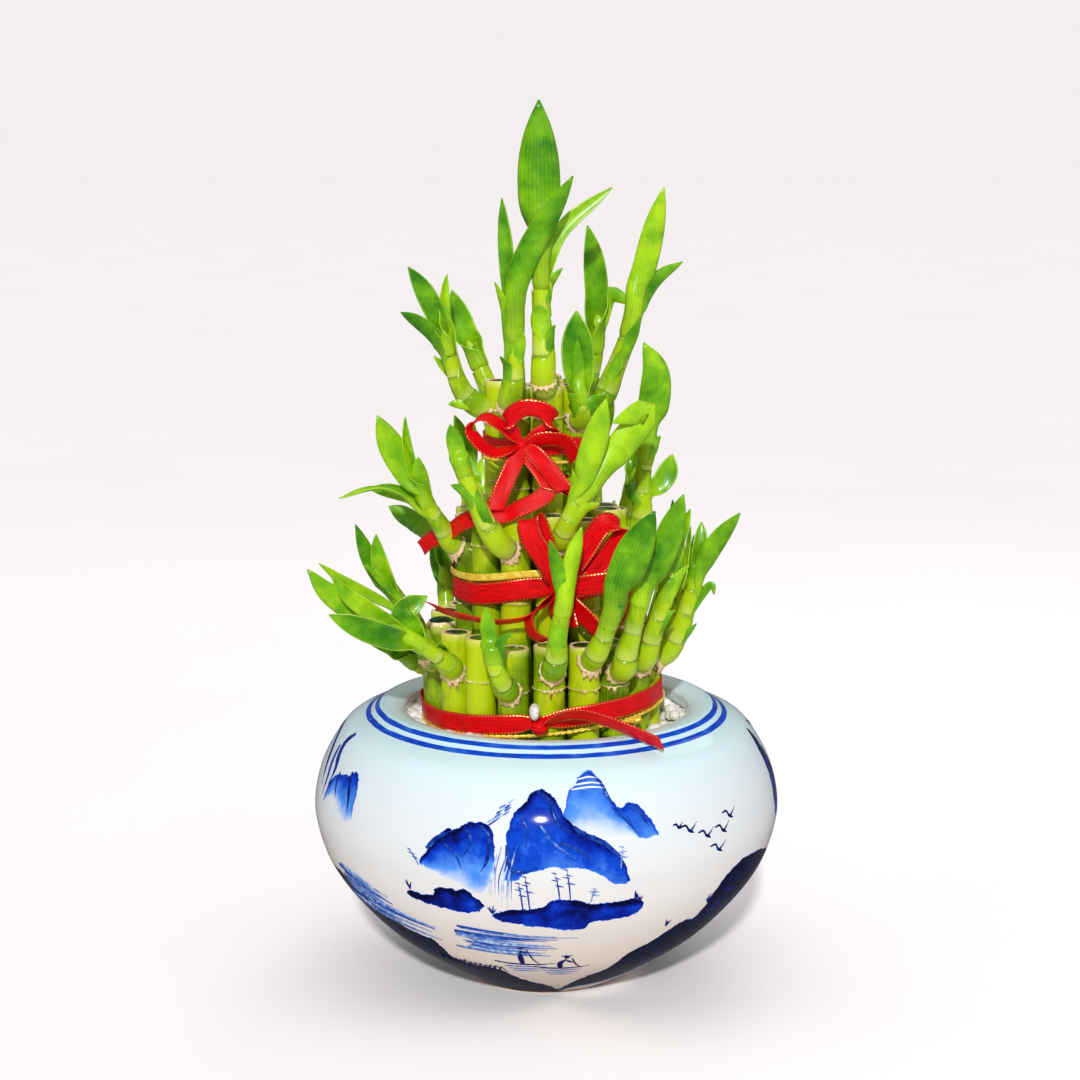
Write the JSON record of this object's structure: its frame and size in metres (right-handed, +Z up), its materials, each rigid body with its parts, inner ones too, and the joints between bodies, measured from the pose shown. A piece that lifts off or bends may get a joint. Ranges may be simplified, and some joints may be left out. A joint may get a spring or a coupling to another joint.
{
  "type": "lucky bamboo",
  "caption": "Tiered tower of leafy bamboo canes tied with ribbons, standing in pebbles in a round painted porcelain bowl.",
  "frame": {"origin": "centre of the bowl's flat base, on the surface it stands on", "axes": "+Z up along the canes, -Y towards the front where the bows are tied, +X to the right seen from the front"},
  "size_m": [0.214, 0.213, 0.3986],
  "materials": {
    "porcelain": "white glazed porcelain with blue underglaze painting",
    "pebble": "polished white pebble",
    "bamboo": "fresh green stem and leaf, waxy",
    "satin_ribbon": "red satin with gold stitched edges",
    "gold_tie": "gold foil wire"
  },
  "bodies": {
    "root": {"bowl": "porcelain", "pebble_bed": "pebble", "cane_centre": "bamboo", "cane_outer_01": "bamboo", "cane_outer_02": "bamboo", "cane_outer_03": "bamboo", "cane_outer_04": "bamboo", "cane_outer_05": "bamboo", "cane_outer_06": "bamboo", "cane_outer_07": "bamboo", "cane_outer_08": "bamboo", "cane_outer_09": "bamboo", "cane_outer_10": "bamboo", "cane_outer_11": "bamboo", "cane_outer_12": "bamboo", "cane_outer_13": "bamboo", "cane_outer_14": "bamboo", "cane_outer_15": "bamboo", "cane_outer_16": "bamboo", "cane_outer_17": "bamboo", "cane_outer_18": "bamboo", "cane_outer_19": "bamboo", "cane_middle_01": "bamboo", "cane_middle_02": "bamboo", "cane_middle_03": "bamboo", "cane_middle_04": "bamboo", "cane_middle_05": "bamboo", "cane_middle_06": "bamboo", "cane_middle_07": "bamboo", "cane_middle_08": "bamboo", "cane_middle_09": "bamboo", "cane_middle_10": "bamboo", "cane_middle_11": "bamboo", "cane_middle_12": "bamboo", "cane_middle_13": "bamboo", "cane_inner_01": "bamboo", "cane_inner_02": "bamboo", "cane_inner_03": "bamboo", "cane_inner_04": "bamboo", "cane_inner_05": "bamboo", "cane_inner_06": "bamboo", "cane_inner_07": "bamboo", "ribbon_inner": "satin_ribbon", "ribbon_middle": "satin_ribbon", "ribbon_outer": "satin_ribbon", "gold_tie_inner": "gold_tie", "gold_tie_middle": "gold_tie", "gold_tie_outer": "gold_tie"}
  },
  "joints": []
}
